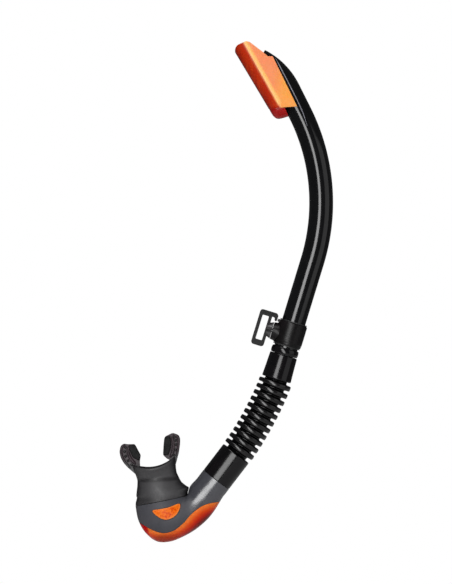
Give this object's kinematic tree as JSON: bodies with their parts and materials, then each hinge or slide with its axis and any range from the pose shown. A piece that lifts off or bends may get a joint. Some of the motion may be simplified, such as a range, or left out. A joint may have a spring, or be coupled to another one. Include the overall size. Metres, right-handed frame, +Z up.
{
  "type": "snorkel",
  "caption": "Snorkel with a curved barrel, a splash guard, a sliding strap keeper, a corrugated swivel hose, a purge chamber and a mouthpiece.",
  "frame": {"origin": "middle of the strap slot's outer wall, on the plane of symmetry", "axes": "+Z up along the worn snorkel, +X away from the mouth, +Y across it from its left side to its right"},
  "size_m": [0.1966, 0.037, 0.4595],
  "materials": {
    "barrel_plastic": "moulded gloss black",
    "guard_plastic": "moulded translucent orange-red",
    "keeper_plastic": "satin black",
    "sleeve_rubber": "soft black grip liner",
    "cuff_plastic": "moulded gloss black",
    "spigot_plastic": "black",
    "seal_rubber": "black O-ring",
    "hose_silicone": "satin black silicone",
    "chamber_plastic": "translucent smoke grey",
    "cover_plastic": "translucent orange-red",
    "inlay_plastic": "orange, finely textured",
    "mouthpiece_silicone": "satin dark grey silicone",
    "pin_metal": "plain",
    "valve_silicone": "clear silicone"
  },
  "bodies": {
    "tube": {"barrel": "barrel_plastic", "splash_guard": "guard_plastic", "splash_baffle": "guard_plastic", "coupling_ring": "cuff_plastic", "hose_spigot": "spigot_plastic", "coupling_seal": "seal_rubber", "upper_hose_cuff": "cuff_plastic", "flex_hose": "hose_silicone"},
    "keeper_sleeve": {"keeper_sleeve": "sleeve_rubber"},
    "keeper": {"keeper_collar": "keeper_plastic", "keeper_pivot_pin": "pin_metal"},
    "strap_clip": {"strap_clip": "keeper_plastic"},
    "lower_hose": {"lower_hose_cuff": "cuff_plastic", "swivel_spigot": "spigot_plastic", "swivel_seal": "seal_rubber"},
    "chamber": {"chamber_body": "chamber_plastic", "side_inlay_front": "inlay_plastic", "side_inlay_back": "inlay_plastic", "purge_cover": "cover_plastic", "purge_seat": "spigot_plastic", "mouthpiece": "mouthpiece_silicone"},
    "purge_valve": {"purge_valve": "valve_silicone"}
  },
  "joints": [
    {"name": "keeper_slide", "type": "slide", "parent": "tube", "child": "keeper_sleeve", "axis": [0.2924, 0, 0.9563], "range_m": [0, 0.055]},
    {"name": "keeper_turn", "type": "hinge", "parent": "keeper_sleeve", "child": "keeper", "pos_m": [0.02802, 0, -0.00857], "axis": [0.2924, 0, 0.9563], "continuous": true},
    {"name": "clip_swivel", "type": "hinge", "parent": "keeper", "child": "strap_clip", "pos_m": [0.01148, 0, -0.00351], "axis": [0.9563, 0, -0.2924], "range_deg": [-90, 90]},
    {"name": "hose_bend", "type": "hinge", "parent": "tube", "child": "lower_hose", "pos_m": [0.0055, 0, -0.0823], "axis": [0, 1, 0], "range_deg": [-20, 45], "stiffness_Nm_per_rad": 1.5, "springref_deg": 4.01, "deforming": ["flex_hose"]},
    {"name": "chamber_swivel", "type": "hinge", "parent": "lower_hose", "child": "chamber", "pos_m": [-0.0395, 0, -0.1409], "axis": [0.6088, 0, 0.7934], "range_deg": [-90, 90]},
    {"name": "purge_valve_lift", "type": "slide", "parent": "chamber", "child": "purge_valve", "axis": [0.1925, 0, -0.9813], "range_m": [0, 0.0012], "stiffness_N_per_m": 200}
  ]
}
